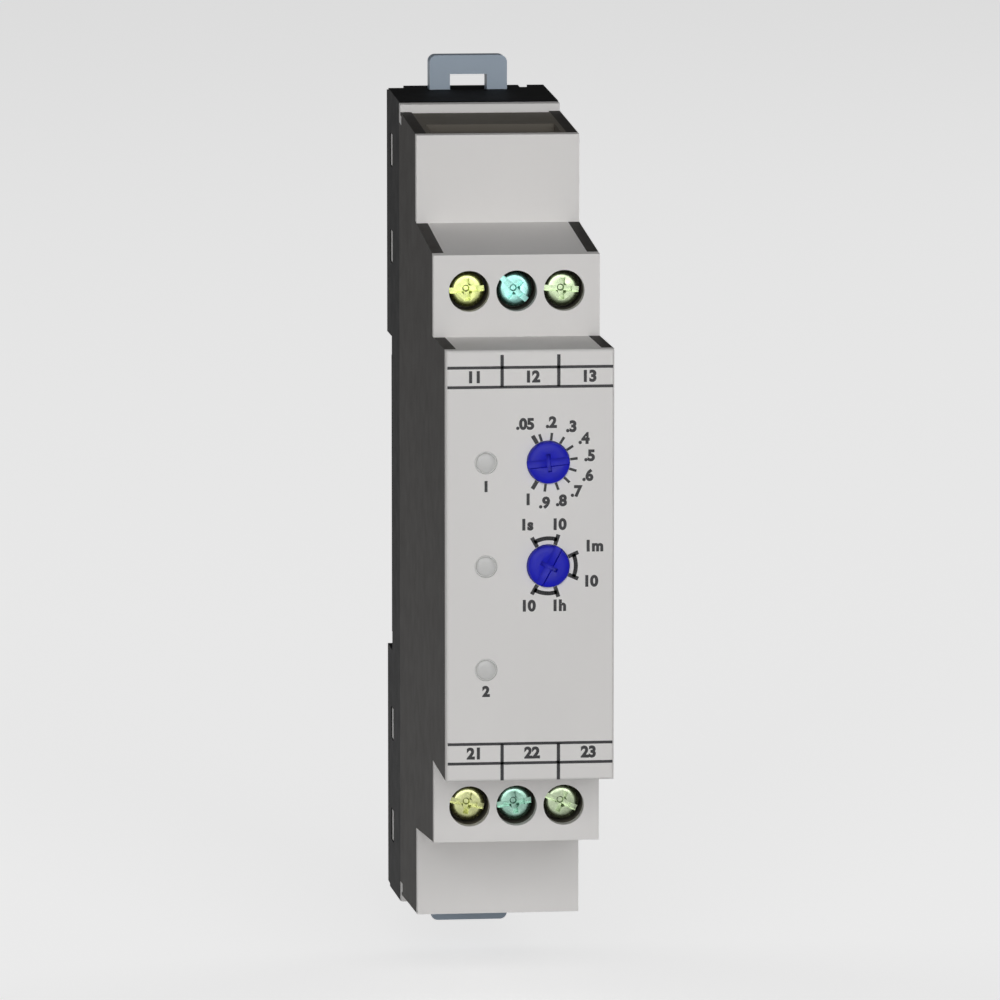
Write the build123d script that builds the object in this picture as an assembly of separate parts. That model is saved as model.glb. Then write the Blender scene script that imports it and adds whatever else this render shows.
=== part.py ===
from build123d import *
import math
import os

# One-module timer for a 35 mm top-hat rail.  Millimetres, X to the right, -Y to the front, +Z up.
# The origin is the centre of the face that rests on the rail.

# Overall sizes
WIDTH = 17.5             # one module
BODY_HEIGHT = 90.0       # rear base, top to bottom at the back plane
NOSE_HEIGHT = 45.0       # front face that stands in the panel cut-out
NOSE_REACH = 60.0        # rail seat to nose front
STEP_REACH = 47.25       # rail seat to terminal step front
SHOULDER_REACH = 29.0    # rail seat to shoulder front
BASE_REACH = 9.5         # rail seat to the joint between the shells and the rear base
BACK_REACH = 5.0         # rail seat to the back plane
STEP_RISE = 8.6          # terminal step above the nose, at its front edge
STEP_DRAFT = 1.7         # extra rise of the step up to the shoulder
SHOULDER_DROP = 2.8      # shoulder front edge below the back plane corner
SHOULDER_DRAFT = 1.2     # extra rise of the shoulder up to the rear base
BASE_DROP = 0.7          # front rim of the rear base below its back corner

# Walls
SIDE_WALL = 1.2
COVER_WALL = 1.3
BASE_WALL = 1.5
SEAT_FLOOR = 1.6

# Rail and clips
RAIL_WIDTH = 35.0
RAIL_RECESS = 35.2
SEAT_HALF = 15.5         # flat part of the seat, each way from the middle
SEAT_RELIEF = 0.4
CLIP_WIDTH = 8.6
CLIP_THICK = 2.6
CLIP_FRONT = 1.4         # front face of the clip behind the rail seat
CLIP_CATCH = 1.3         # how far the nose reaches behind the rail edge
CLIP_PROUD = 3.6         # how far the tongue stands out of the body
CLIP_SIDE_GAP = 0.15
CLIP_FACE_GAP = 0.2
CLIP_TRAVEL = 3.0
CLIP_CORNER = 0.8
SLOT_WIDTH = 3.0
SLOT_START = 7.8         # from clip nose to spring slot
SPRING_LENGTH = 10.2
PEG_HEIGHT = 1.6
PEG_GAP = 0.2
TOOL_WINDOW_WIDTH = 4.1
TOOL_WINDOW_HEIGHT = 8.0
TOOL_WINDOW_BRIDGE = 2.1
SPRING_RADIUS = 1.0
SPRING_WIRE = 0.35
SPRING_TURNS = 8

# Locking tabs between the shells and the rear base
TAB_HEIGHT = 3.5
TAB_ARM = 0.6
TAB_CENTRES = (38.3, 27.6, -25.9, -37.4)
TAB_FRONT = 1.6
TAB_BACK = 1.0
TAB_FIT = 0.05

# Terminals
SCREW_PITCH = 5.0
SCREW_RISE = 4.8         # screw line above the nose
SCREW_RECESS = 2.05
HEAD_RADIUS = 1.85
HEAD_THICK = 2.2
HEAD_GAP = 0.3
SHANK_RADIUS = 1.25
SHANK_FIT = 0.06
CAGE_WIDTH = 3.8
CAGE_HEIGHT = 4.6
CAGE_SIDE = 0.45
CAGE_NUT = 1.4
CAGE_REAR = 1.0
CAGE_TRAVEL = 3.5
CAGE_GAP = 0.15
WIRE_GAP = 4.1
BAR_THICK = 0.8
BAR_WIDTH = 2.5
BAR_OVERLAP = 2.5
BLOCK_START = 0.5        # block above the nose height
BLOCK_WALL = 0.7
FUNNEL_DEPTH = 6.1
FUNNEL_END_WALL = 0.55
CHANNEL_WIDTH = 3.6      # one wire's way from the funnel to its cage
DIVIDER_DROP = 7.4       # divider tops below the underside of the shoulder plate
RIM_DEPTH = 2.5
RIM_RISE = 0.8
RIM_GROOVE = 1.0

# Controls
KNOB_X = 1.87
KNOB_SPACING = 10.8
KNOB_RADIUS = 2.2
KNOB_PROUD = 0.8
KNOB_FIT = 0.06
KNOB_COLLAR = 2.7
KNOB_SHAFT = 1.0
ROTOR_RADIUS = 1.9
ROTOR_THICK = 0.8
ROTOR_GAP = 0.35
TRIMMER_SIZE = 5.4
LENS_X = -4.6
LENS_RADIUS = 1.2
LED_SIZE = 1.6

# Boards and parts
FRONT_BOARD_BACK = 7.8   # nose front to the front face of the front board
FRONT_BOARD_THICK = 1.0
MAIN_BOARD_THICK = 1.6
MAIN_BOARD_CLEAR = 1.5   # main board below the nose height, each end
PIN_SIZE = 0.64
PIN_PITCH = 2.0
PIN_COUNT = 6

# Relay
RELAY_WIDTH = 12.4
RELAY_LENGTH = 28.4
RELAY_BASE = 1.6
RELAY_HEIGHT = 15.8
RELAY_WALL = 0.6
COIL_LENGTH = 12.8
COIL_RADIUS = 4.3
BOBBIN_RADIUS = 2.1
CORE_RADIUS = 1.5
FLANGE_THICK = 0.8
YOKE_THICK = 1.0
POLE_RADIUS = 2.6
POLE_GAP = 0.7
ARMATURE_THICK = 0.8
CONTACT_RADIUS = 0.8

# Values that follow from the ones above
HALF_WIDTH = WIDTH / 2
INNER_HALF = HALF_WIDTH - SIDE_WALL
BASE_HALF = BODY_HEIGHT / 2
NOSE_HALF = NOSE_HEIGHT / 2
STEP_HALF = NOSE_HALF + STEP_RISE
SHOULDER_HALF = BASE_HALF - SHOULDER_DROP
RECESS_HALF = RAIL_RECESS / 2
CLIP_NOSE = RAIL_WIDTH / 2 - CLIP_CATCH
CLIP_MID_Y = CLIP_FRONT + CLIP_THICK / 2
SPRING_START = CLIP_NOSE + SLOT_START
PEG_START = SPRING_START + SPRING_LENGTH
SLOT_END = PEG_START + PEG_HEIGHT + PEG_GAP
SCREW_Z = NOSE_HALF + SCREW_RISE
SCREW_XS = (-SCREW_PITCH, 0.0, SCREW_PITCH)
HEAD_FRONT = -STEP_REACH + SCREW_RECESS
HEAD_BACK = HEAD_FRONT + HEAD_THICK
BAR_BACK = -SHOULDER_REACH + 1.9
BAR_FRONT = BAR_BACK - BAR_THICK
SHANK_END = BAR_FRONT - 0.2
CAGE_BACK_IN = BAR_BACK + WIRE_GAP
CAGE_BACK = CAGE_BACK_IN + CAGE_REAR
CAGE_FRONT_IN = SHANK_END - 2.0
CAGE_FRONT = CAGE_FRONT_IN - CAGE_NUT
CAVITY_FRONT = CAGE_FRONT - CAGE_TRAVEL - 0.3
CAVITY_BACK = CAGE_BACK + 0.3
FUNNEL_FRONT = -SHOULDER_REACH + COVER_WALL + BLOCK_WALL
FUNNEL_BACK = FUNNEL_FRONT + FUNNEL_DEPTH
BLOCK_BACK = max(FUNNEL_BACK + BLOCK_WALL, CAVITY_BACK + BLOCK_WALL)
BLOCK_LOW = NOSE_HALF + BLOCK_START
BLOCK_TOP = STEP_HALF - COVER_WALL
PLATE_UNDER = SHOULDER_HALF - COVER_WALL
DIVIDER_TOP = PLATE_UNDER - DIVIDER_DROP
RIM_FRONT = -BASE_REACH - RIM_DEPTH
KNOB_ZS = (KNOB_SPACING, 0.0)
LENS_ZS = (KNOB_SPACING, 0.0, -KNOB_SPACING)
PLATE_BACK = -NOSE_REACH + COVER_WALL
FRONT_BOARD_Y = -NOSE_REACH + FRONT_BOARD_BACK
ROTOR_BACK = FRONT_BOARD_Y - 2.2
MAIN_BOARD_BACK = BAR_FRONT
MAIN_BOARD_FRONT = MAIN_BOARD_BACK - MAIN_BOARD_THICK
MAIN_BOARD_HALF = NOSE_HALF - MAIN_BOARD_CLEAR
RELAY_FLOOR = MAIN_BOARD_BACK + RELAY_BASE
COIL_Y = RELAY_FLOOR + 7.8
COIL_LOW = -RELAY_LENGTH / 2 + 3.0
COIL_HIGH = COIL_LOW + COIL_LENGTH
POLE_TOP = COIL_HIGH + 2 * FLANGE_THICK
YOKE_Y = COIL_Y + COIL_RADIUS + 1.0
ARMATURE_Z = POLE_TOP + POLE_GAP
CONTACT_Y = RELAY_FLOOR + 2.9


def block(x0, x1, y0, y1, z0, z1):
    """Rectangular block between two corners."""
    centre = Pos((x0 + x1) / 2, (y0 + y1) / 2, (z0 + z1) / 2)
    return centre * Box(abs(x1 - x0), abs(y1 - y0), abs(z1 - z0))


def rod_y(x, z, radius, y0, y1):
    """Round bar along Y."""
    return Pos(x, (y0 + y1) / 2, z) * Rot(90, 0, 0) * Cylinder(radius, abs(y1 - y0))


def rod_z(x, y, radius, z0, z1):
    """Round bar along Z."""
    return Pos(x, y, (z0 + z1) / 2) * Cylinder(radius, abs(z1 - z0))


def rod_x(y, z, radius, x0, x1):
    """Round bar along X."""
    return Pos((x0 + x1) / 2, y, z) * Rot(0, 90, 0) * Cylinder(radius, abs(x1 - x0))


def slab(points, x0, x1):
    """Prism with a side outline given as (y, z) points, from x0 to x1."""
    return extrude(Plane.YZ.offset(x0) * Polygon(*points, align=None), x1 - x0, dir=(1, 0, 0))


def flipped(shape):
    """The same shape upside down, for the lower half."""
    return mirror(shape, about=Plane.XY)


def step_z(y):
    """Outer height of the terminal step at depth y."""
    return STEP_HALF + STEP_DRAFT * (y + STEP_REACH) / (STEP_REACH - SHOULDER_REACH)


def shoulder_z(y):
    """Outer height of the shoulder at depth y."""
    return SHOULDER_HALF + SHOULDER_DRAFT * (y + SHOULDER_REACH) / (SHOULDER_REACH - BASE_REACH)


def base_z(y):
    """Outer height of the rear base at depth y."""
    return BASE_HALF - BASE_DROP * (BACK_REACH - y) / (BACK_REACH + BASE_REACH)


def side_outline(front_inset, edge_inset, back):
    """Stepped side outline, front faces set back and edges brought in, closed at depth back."""
    nose_y = -NOSE_REACH + front_inset
    step_y = -STEP_REACH + front_inset
    shoulder_y = -SHOULDER_REACH + front_inset
    upper = [
        (nose_y, NOSE_HALF - edge_inset),
        (step_y, NOSE_HALF - edge_inset),
        (step_y, step_z(step_y) - edge_inset),
        (shoulder_y, step_z(shoulder_y) - edge_inset),
        (shoulder_y, shoulder_z(shoulder_y) - edge_inset),
        (back, shoulder_z(back) - edge_inset),
    ]
    lower = [(y, -z) for y, z in reversed(upper)]
    return upper + lower


def rim_prism():
    """Raised rim that closes the shoulder in front of the rear base."""
    ridge = RIM_FRONT + RIM_GROOVE
    points = [
        (RIM_FRONT, shoulder_z(RIM_FRONT) - COVER_WALL),
        (RIM_FRONT, shoulder_z(RIM_FRONT) - 0.35),
        (ridge, shoulder_z(ridge) - 0.35),
        (ridge, shoulder_z(ridge) + RIM_RISE),
        (-BASE_REACH, shoulder_z(-BASE_REACH) + RIM_RISE),
        (-BASE_REACH, shoulder_z(-BASE_REACH) - COVER_WALL),
    ]
    return slab(points, -HALF_WIDTH, HALF_WIDTH)


def make_side_shell(sign):
    """Side wall on the right (+1) or left (-1), notched for the two rims."""
    outline = side_outline(COVER_WALL, 0.0, -BASE_REACH)
    near = min(sign * INNER_HALF, sign * HALF_WIDTH)
    far = max(sign * INNER_HALF, sign * HALF_WIDTH)
    shell = slab(outline, near, far)
    rib_back = HEAD_BACK + 1.0
    for z in (NOSE_HALF - 6.0, -NOSE_HALF + 6.0):
        inner = sign * (INNER_HALF - 0.8)
        shell += block(inner, sign * INNER_HALF, FRONT_BOARD_Y + FRONT_BOARD_THICK, rib_back, z - 0.6, z + 0.6)
    shell -= rim_prism()
    shell -= flipped(rim_prism())
    return shell


def make_front_cover():
    """Stepped light cover: nose front, terminal steps and the shoulder fronts."""
    end = -SHOULDER_REACH + COVER_WALL
    cover = slab(side_outline(0.0, 0.0, end), -HALF_WIDTH, HALF_WIDTH)
    front_edges = cover.faces().sort_by(Axis.Y)[0].edges()
    cover = fillet(front_edges, 0.35)
    cover -= slab(side_outline(COVER_WALL, COVER_WALL, end + 1.0), -HALF_WIDTH - 1, HALF_WIDTH + 1)
    for x0, x1 in ((-HALF_WIDTH - 1, -INNER_HALF), (INNER_HALF, HALF_WIDTH + 1)):
        cover -= shell_cut(x0, x1)
    for x in SCREW_XS:
        for z in (SCREW_Z, -SCREW_Z):
            cover -= rod_y(x, z, HEAD_RADIUS + HEAD_GAP, -STEP_REACH - 1, -STEP_REACH + COVER_WALL + 1)
    for z in KNOB_ZS:
        cover -= rod_y(KNOB_X, z, KNOB_RADIUS + KNOB_FIT, -NOSE_REACH - 1, PLATE_BACK + 1)
    for z in LENS_ZS:
        cover -= rod_y(LENS_X, z, LENS_RADIUS, -NOSE_REACH - 1, PLATE_BACK + 1)
    return cover


def shell_cut(x0, x1):
    """Room beside the cover walls for a side shell."""
    return slab(side_outline(COVER_WALL, 0.0, -SHOULDER_REACH + COVER_WALL + 1.0), x0, x1)


def tab_spans():
    """Lower and upper z of every locking tab."""
    return [(z - TAB_HEIGHT / 2, z + TAB_HEIGHT / 2) for z in TAB_CENTRES]


def make_locking_tabs(sign):
    """Spring arms of one side shell with hooks that fill the windows of the rear base."""
    tabs = []
    for low, high in tab_spans():
        arm = block(sign * (INNER_HALF - TAB_ARM), sign * INNER_HALF, -BASE_REACH - 1.2, TAB_BACK, low, high)
        hook = block(sign * INNER_HALF, sign * (HALF_WIDTH - 0.1), -TAB_FRONT, TAB_BACK, low, high)
        tabs.append(arm + hook)
    return Compound(children=tabs)


def clip_duct():
    """Passage of the upper clip through the rear base."""
    half = CLIP_WIDTH / 2 + CLIP_SIDE_GAP
    front = CLIP_FRONT - CLIP_FACE_GAP
    back = CLIP_FRONT + CLIP_THICK + CLIP_FACE_GAP
    return block(-half, half, front, back, RECESS_HALF - 0.5, BASE_HALF + 2)


def make_rear_base():
    """Black base that carries the rail seat, the clip ducts and the tab windows."""
    outline = [
        (-BASE_REACH, base_z(-BASE_REACH)),
        (BACK_REACH, BASE_HALF),
        (BACK_REACH, RECESS_HALF),
        (0, RECESS_HALF),
        (0, -RECESS_HALF),
        (BACK_REACH, -RECESS_HALF),
        (BACK_REACH, -BASE_HALF),
        (-BASE_REACH, -base_z(-BASE_REACH)),
    ]
    base = slab(outline, -HALF_WIDTH, HALF_WIDTH)
    room = base_z(-BASE_REACH) - BASE_WALL
    base -= block(-INNER_HALF, INNER_HALF, -BASE_REACH - 1, -SEAT_FLOOR, -room, room)
    duct_front = CLIP_FRONT - CLIP_FACE_GAP
    duct_back = CLIP_FRONT + CLIP_THICK + CLIP_FACE_GAP
    peg_half = SLOT_WIDTH / 2 - PEG_GAP
    for turn in (lambda shape: shape, flipped):
        base -= turn(clip_duct())
        relief = block(-HALF_WIDTH - 1, HALF_WIDTH + 1, -SEAT_RELIEF, 1.0, SEAT_HALF, RECESS_HALF)
        base -= turn(relief)
        window = block(-1.7, 1.7, duct_back - 0.1, BACK_REACH + 1, SPRING_START - 1, PEG_START - 1)
        base -= turn(window)
        base += turn(block(-peg_half, peg_half, duct_front, duct_back, PEG_START, PEG_START + PEG_HEIGHT))
        pull = block(5.9, 6.9, BACK_REACH - 2, BACK_REACH + 1, BASE_HALF - 0.4, BASE_HALF + 1)
        base -= turn(pull)
        ledge = block(-HALF_WIDTH - 1, -6.9, BACK_REACH - 2, BACK_REACH + 1, BASE_HALF - 0.4, BASE_HALF + 1)
        base -= turn(ledge)
    for low, high in tab_spans():
        for sign in (-1, 1):
            arm = block(
                sign * (INNER_HALF - TAB_ARM - 2 * TAB_FIT), sign * INNER_HALF,
                -SEAT_FLOOR - 0.5, TAB_BACK + TAB_FIT, low - TAB_FIT, high + TAB_FIT)
            window = block(
                sign * (INNER_HALF - 0.2), sign * (HALF_WIDTH + 1),
                -TAB_FRONT - TAB_FIT, TAB_BACK + TAB_FIT, low - TAB_FIT, high + TAB_FIT)
            base -= arm
            base -= window
    return base


def make_rail_clip():
    """Upper rail clip: catching nose, spring slot and a tongue with a tool window."""
    half = CLIP_WIDTH / 2
    back = CLIP_FRONT + CLIP_THICK
    end = BASE_HALF + CLIP_PROUD
    clip = block(-half, half, CLIP_FRONT, back, CLIP_NOSE, end)
    corners = clip.edges().filter_by(Axis.Y).group_by(Axis.Z)[-1]
    clip = fillet(corners, CLIP_CORNER)
    lead = clip.edges().filter_by(Axis.X).group_by(Axis.Z)[0].sort_by(Axis.Y)[-1:]
    clip = chamfer(lead, 1.0)
    clip -= block(-SLOT_WIDTH / 2, SLOT_WIDTH / 2, CLIP_FRONT - 1, back + 1, SPRING_START, SLOT_END)
    window_top = end - TOOL_WINDOW_BRIDGE
    window_low = max(window_top - TOOL_WINDOW_HEIGHT, SLOT_END + 1.0)
    clip -= block(-TOOL_WINDOW_WIDTH / 2, TOOL_WINDOW_WIDTH / 2, CLIP_FRONT - 1, back + 1, window_low, window_top)
    return clip


def make_clip_spring():
    """Compression spring between the clip and the peg of the base."""
    height = SPRING_LENGTH - 2 * SPRING_WIRE / 2
    path = Helix(height / SPRING_TURNS, height, SPRING_RADIUS)
    profile = Plane(origin=path @ 0, z_dir=path % 0) * Circle(SPRING_WIRE / 2)
    coil = sweep(profile, path)
    return Pos(0, CLIP_MID_Y, SPRING_START + SPRING_WIRE / 2) * coil


def make_terminal_block():
    """Upper terminal block: screw bores, cage chambers, wire funnel and the shoulder plate."""
    front = -STEP_REACH + COVER_WALL
    lip = -SHOULDER_REACH + COVER_WALL
    body = block(-INNER_HALF, INNER_HALF, front, BLOCK_BACK, BLOCK_LOW, BLOCK_TOP)
    body += block(-INNER_HALF, INNER_HALF, lip, FUNNEL_BACK + BLOCK_WALL, BLOCK_TOP, PLATE_UNDER)
    plate = [
        (lip, PLATE_UNDER),
        (lip, shoulder_z(lip)),
        (RIM_FRONT, shoulder_z(RIM_FRONT)),
        (RIM_FRONT, PLATE_UNDER),
    ]
    body += slab(plate, -INNER_HALF, INNER_HALF)
    funnel_half = INNER_HALF - FUNNEL_END_WALL
    body -= block(-funnel_half, funnel_half, FUNNEL_FRONT, FUNNEL_BACK, DIVIDER_TOP, BASE_HALF + 1)
    chamber = CAGE_WIDTH / 2 + CAGE_GAP
    for x in SCREW_XS:
        way = CHANNEL_WIDTH / 2
        body -= block(x - way, x + way, FUNNEL_FRONT, FUNNEL_BACK, BLOCK_TOP - 0.5, DIVIDER_TOP + 0.5)
        low = SCREW_Z - CAGE_HEIGHT / 2 - 2 * CAGE_GAP
        body -= block(x - chamber, x + chamber, CAVITY_FRONT, lip, low, BLOCK_TOP + 0.5)
        body -= block(x - chamber, x + chamber, CAVITY_FRONT, CAVITY_BACK, low, BLOCK_TOP)
        body -= rod_y(x, SCREW_Z, HEAD_RADIUS + HEAD_GAP, front - 1, HEAD_BACK + 0.1)
        body -= rod_y(x, SCREW_Z, SHANK_RADIUS + SHANK_FIT, HEAD_BACK, CAVITY_FRONT + 0.5)
        half = BAR_WIDTH / 2
        body -= block(x - half, x + half, BAR_FRONT, BAR_BACK, BLOCK_LOW - 1, low + 0.5)
    return body


def make_contact_bars():
    """Three copper bars from the upper cages to the main board."""
    half = BAR_WIDTH / 2
    low = MAIN_BOARD_HALF - BAR_OVERLAP
    high = SCREW_Z + CAGE_HEIGHT / 2
    bars = [block(x - half, x + half, BAR_FRONT, BAR_BACK, low, high) for x in SCREW_XS]
    return Compound(children=bars)


def make_terminal_screw(x):
    """Upper terminal screw with a combined slot and cross recess."""
    screw = rod_y(x, SCREW_Z, HEAD_RADIUS, HEAD_FRONT, HEAD_BACK)
    rim = screw.edges().filter_by(GeomType.CIRCLE).sort_by(Axis.Y)[0]
    screw = chamfer(rim, 0.2)
    screw += rod_y(x, SCREW_Z, SHANK_RADIUS, HEAD_BACK, SHANK_END)
    slot_front = HEAD_FRONT - 1
    screw -= block(x - 2.5, x + 2.5, slot_front, HEAD_FRONT + 0.7, SCREW_Z - 0.3, SCREW_Z + 0.3)
    screw -= block(x - 1.15, x + 1.15, slot_front, HEAD_FRONT + 1.2, SCREW_Z - 0.28, SCREW_Z + 0.28)
    screw -= block(x - 0.28, x + 0.28, slot_front, HEAD_FRONT + 1.2, SCREW_Z - 1.15, SCREW_Z + 1.15)
    return screw


def make_clamp_cage(x):
    """Upper clamp cage, open for the wire, with the threaded wall at the front."""
    half = CAGE_WIDTH / 2
    low = SCREW_Z - CAGE_HEIGHT / 2
    high = SCREW_Z + CAGE_HEIGHT / 2
    cage = block(x - half, x + half, CAGE_FRONT, CAGE_BACK, low, high)
    inner = half - CAGE_SIDE
    cage -= block(x - inner, x + inner, CAGE_FRONT_IN, CAGE_BACK_IN, low - 1, high + 1)
    cage -= rod_y(x, SCREW_Z, SHANK_RADIUS + SHANK_FIT, CAGE_FRONT - 1, CAGE_FRONT_IN + 1)
    return cage


def make_knob(z, angle):
    """Setting knob with a pointer slot, turned by angle degrees clockwise seen from the front."""
    front = -NOSE_REACH - KNOB_PROUD
    knob = rod_y(KNOB_X, z, KNOB_RADIUS, front, PLATE_BACK + 0.2)
    rim = knob.edges().filter_by(GeomType.CIRCLE).sort_by(Axis.Y)[0]
    knob = chamfer(rim, 0.35)
    knob += rod_y(KNOB_X, z, KNOB_COLLAR, PLATE_BACK + 0.2, PLATE_BACK + 1.0)
    knob += rod_y(KNOB_X, z, KNOB_SHAFT, PLATE_BACK + 1.0, ROTOR_BACK)
    slot = block(-0.4, 0.4, front - 1, front + 1.1, -1.7, 1.7)
    slot += block(-0.95, 0.95, front - 1, front + 1.1, -0.3, 0.3)
    return knob - Pos(KNOB_X, 0, z) * Rot(0, angle, 0) * slot


def make_rotor(z):
    """Wiper disc pressed on the end of a knob shaft."""
    rotor = rod_y(KNOB_X, z, ROTOR_RADIUS, ROTOR_BACK - ROTOR_THICK, ROTOR_BACK)
    return rotor - rod_y(KNOB_X, z, KNOB_SHAFT, ROTOR_BACK - ROTOR_THICK - 1, ROTOR_BACK + 1)


def make_trimmer(z):
    """Potentiometer body with a round well for the wiper disc."""
    half = TRIMMER_SIZE / 2
    front = ROTOR_BACK - ROTOR_THICK - 0.8
    body = block(KNOB_X - half, KNOB_X + half, front, FRONT_BOARD_Y, z - half, z + half)
    return body - rod_y(KNOB_X, z, ROTOR_RADIUS + ROTOR_GAP, front - 1, ROTOR_BACK + 0.3)


def make_lens(z):
    """Round light guide seated in the nose front."""
    lens = rod_y(LENS_X, z, LENS_RADIUS, -NOSE_REACH, FRONT_BOARD_Y - 1.6)
    return lens + rod_y(LENS_X, z, LENS_RADIUS + 0.4, PLATE_BACK, PLATE_BACK + 0.7)


def make_leds():
    """Three chip LEDs behind the light guides."""
    half = LED_SIZE / 2
    leds = []
    for z in LENS_ZS:
        body = block(LENS_X - half, LENS_X + half, FRONT_BOARD_Y - 0.7, FRONT_BOARD_Y, z - half, z + half)
        leds.append(body + rod_y(LENS_X, z, 0.55, FRONT_BOARD_Y - 1.0, FRONT_BOARD_Y - 0.7))
    return Compound(children=leds)


def make_board_pins():
    """Pin header that joins the two boards."""
    back = FRONT_BOARD_Y + FRONT_BOARD_THICK
    z = -NOSE_HALF + 6.5
    span = (PIN_COUNT - 1) * PIN_PITCH / 2
    header = block(-span - 1.0, span + 1.0, back, back + 2.5, z - 1.2, z + 1.2)
    header += block(-span - 1.0, span + 1.0, MAIN_BOARD_FRONT - 2.5, MAIN_BOARD_FRONT, z - 1.2, z + 1.2)
    half = PIN_SIZE / 2
    for i in range(PIN_COUNT):
        x = -span + i * PIN_PITCH
        header += block(x - half, x + half, back, MAIN_BOARD_FRONT, z - half, z + half)
    return header


def make_timing_chip():
    """Small-outline chip behind the front board."""
    back = FRONT_BOARD_Y + FRONT_BOARD_THICK
    chip = block(-2.0, 2.0, back + 0.2, back + 1.7, -4.4, 4.4)
    for i in range(7):
        z = -3.81 + i * 1.27
        for sign in (-1, 1):
            chip += block(sign * 1.9, sign * 3.0, back + 0.5, back + 0.75, z - 0.2, z + 0.2)
            chip += block(sign * 2.7, sign * 3.2, back, back + 0.75, z - 0.2, z + 0.2)
    return chip


def make_can(x, z, radius, length):
    """Round can capacitor standing on the main board, with a rolled groove near its foot."""
    front = MAIN_BOARD_FRONT - length
    can = rod_y(x, z, radius, front, MAIN_BOARD_FRONT)
    can = chamfer(can.edges().filter_by(GeomType.CIRCLE).sort_by(Axis.Y)[0], 0.4)
    groove = rod_y(x, z, radius + 1, MAIN_BOARD_FRONT - 2.4, MAIN_BOARD_FRONT - 1.8)
    groove -= rod_y(x, z, radius - 0.3, MAIN_BOARD_FRONT - 3.4, MAIN_BOARD_FRONT - 0.8)
    return can - groove


def make_film_capacitor():
    """Box capacitor across the middle of the main board."""
    box = block(-6.2, 6.2, MAIN_BOARD_FRONT - 11.0, MAIN_BOARD_FRONT, -1.2, 5.2)
    return fillet(box.edges().filter_by(Axis.Y), 0.4)


def make_varistor():
    """Disc varistor on two short leads."""
    y = MAIN_BOARD_FRONT - 4.6
    disc = rod_z(-3.4, y, 3.3, -6.6, -3.6)
    for x in (-5.2, -1.6):
        disc += block(x - 0.3, x + 0.3, y, MAIN_BOARD_FRONT, -5.4, -4.8)
    return disc


def make_regulator():
    """Flat transistor package on three leads."""
    body = block(1.4, 6.2, MAIN_BOARD_FRONT - 7.0, MAIN_BOARD_FRONT - 2.4, -6.4, -3.8)
    for i in range(3):
        x = 2.5 + 1.3 * i
        body += block(x - 0.25, x + 0.25, MAIN_BOARD_FRONT - 2.5, MAIN_BOARD_FRONT, -5.4, -4.9)
    return body


def make_resistors():
    """Three axial resistors lying on the main board."""
    parts = []
    for z in (-8.8, -11.4, -13.9):
        y = MAIN_BOARD_FRONT - 1.3
        body = rod_x(y, z, 0.9, -2.6, 2.6)
        body += rod_x(y, z, 0.25, -4.4, 4.4)
        for x in (-4.4, 4.4):
            body += block(x - 0.25, x + 0.25, y - 0.25, MAIN_BOARD_FRONT, z - 0.25, z + 0.25)
        parts.append(body)
    return Compound(children=parts)


def make_relay_base():
    """Foot plate of the relay with its two locating ribs."""
    half = RELAY_WIDTH / 2
    reach = RELAY_LENGTH / 2
    base = block(-half, half, MAIN_BOARD_BACK, RELAY_FLOOR, -reach, reach)
    return base


def make_relay_cover():
    """Thin box over the relay works."""
    half = RELAY_WIDTH / 2
    reach = RELAY_LENGTH / 2
    top = RELAY_FLOOR + RELAY_HEIGHT
    cover = block(-half, half, RELAY_FLOOR, top, -reach, reach)
    cover = fillet(cover.edges().filter_by(Axis.Y), 0.5)
    inner = half - RELAY_WALL
    deep = reach - RELAY_WALL
    return cover - block(-inner, inner, RELAY_FLOOR - 1, top - RELAY_WALL, -deep, deep)


def make_relay_bobbin():
    """Coil former whose flanges stand on the relay base."""
    half = COIL_RADIUS + 0.3
    bobbin = rod_z(0, COIL_Y, BOBBIN_RADIUS, COIL_LOW, COIL_HIGH)
    for low in (COIL_LOW - FLANGE_THICK, COIL_HIGH):
        bobbin += block(-half, half, RELAY_FLOOR, COIL_Y + half, low, low + FLANGE_THICK)
    return bobbin - rod_z(0, COIL_Y, CORE_RADIUS, COIL_LOW - 3, COIL_HIGH + 3)


def make_relay_winding():
    """Copper winding between the flanges."""
    coil = rod_z(0, COIL_Y, COIL_RADIUS, COIL_LOW, COIL_HIGH)
    return coil - rod_z(0, COIL_Y, BOBBIN_RADIUS, COIL_LOW - 1, COIL_HIGH + 1)


def make_relay_core():
    """Iron core with a pole disc."""
    core = rod_z(0, COIL_Y, CORE_RADIUS, COIL_LOW - FLANGE_THICK, POLE_TOP - FLANGE_THICK)
    return core + rod_z(0, COIL_Y, POLE_RADIUS, COIL_HIGH + FLANGE_THICK, POLE_TOP)


def make_relay_yoke():
    """Angled iron strap from the foot of the core to the armature."""
    low = COIL_LOW - FLANGE_THICK - YOKE_THICK
    half = COIL_RADIUS - 0.4
    foot = block(-half, half, COIL_Y - 3.0, YOKE_Y + YOKE_THICK, low, low + YOKE_THICK)
    return foot + block(-half, half, YOKE_Y, YOKE_Y + YOKE_THICK, low, POLE_TOP + 0.2)


def make_relay_armature():
    """Iron flap over the pole, hinged at the end of the yoke."""
    half = COIL_RADIUS - 0.8
    return block(-half, half, COIL_Y - 3.1, YOKE_Y + 0.8, ARMATURE_Z, ARMATURE_Z + ARMATURE_THICK)


def make_contact_spring():
    """Bronze strip on the armature with the moving contact."""
    z = ARMATURE_Z + ARMATURE_THICK
    strip = block(-1.5, 1.5, CONTACT_Y - 1.0, YOKE_Y - 1.0, z, z + 0.2)
    return strip + rod_z(0, CONTACT_Y, CONTACT_RADIUS, z - 0.6, z + 0.7)


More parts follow.
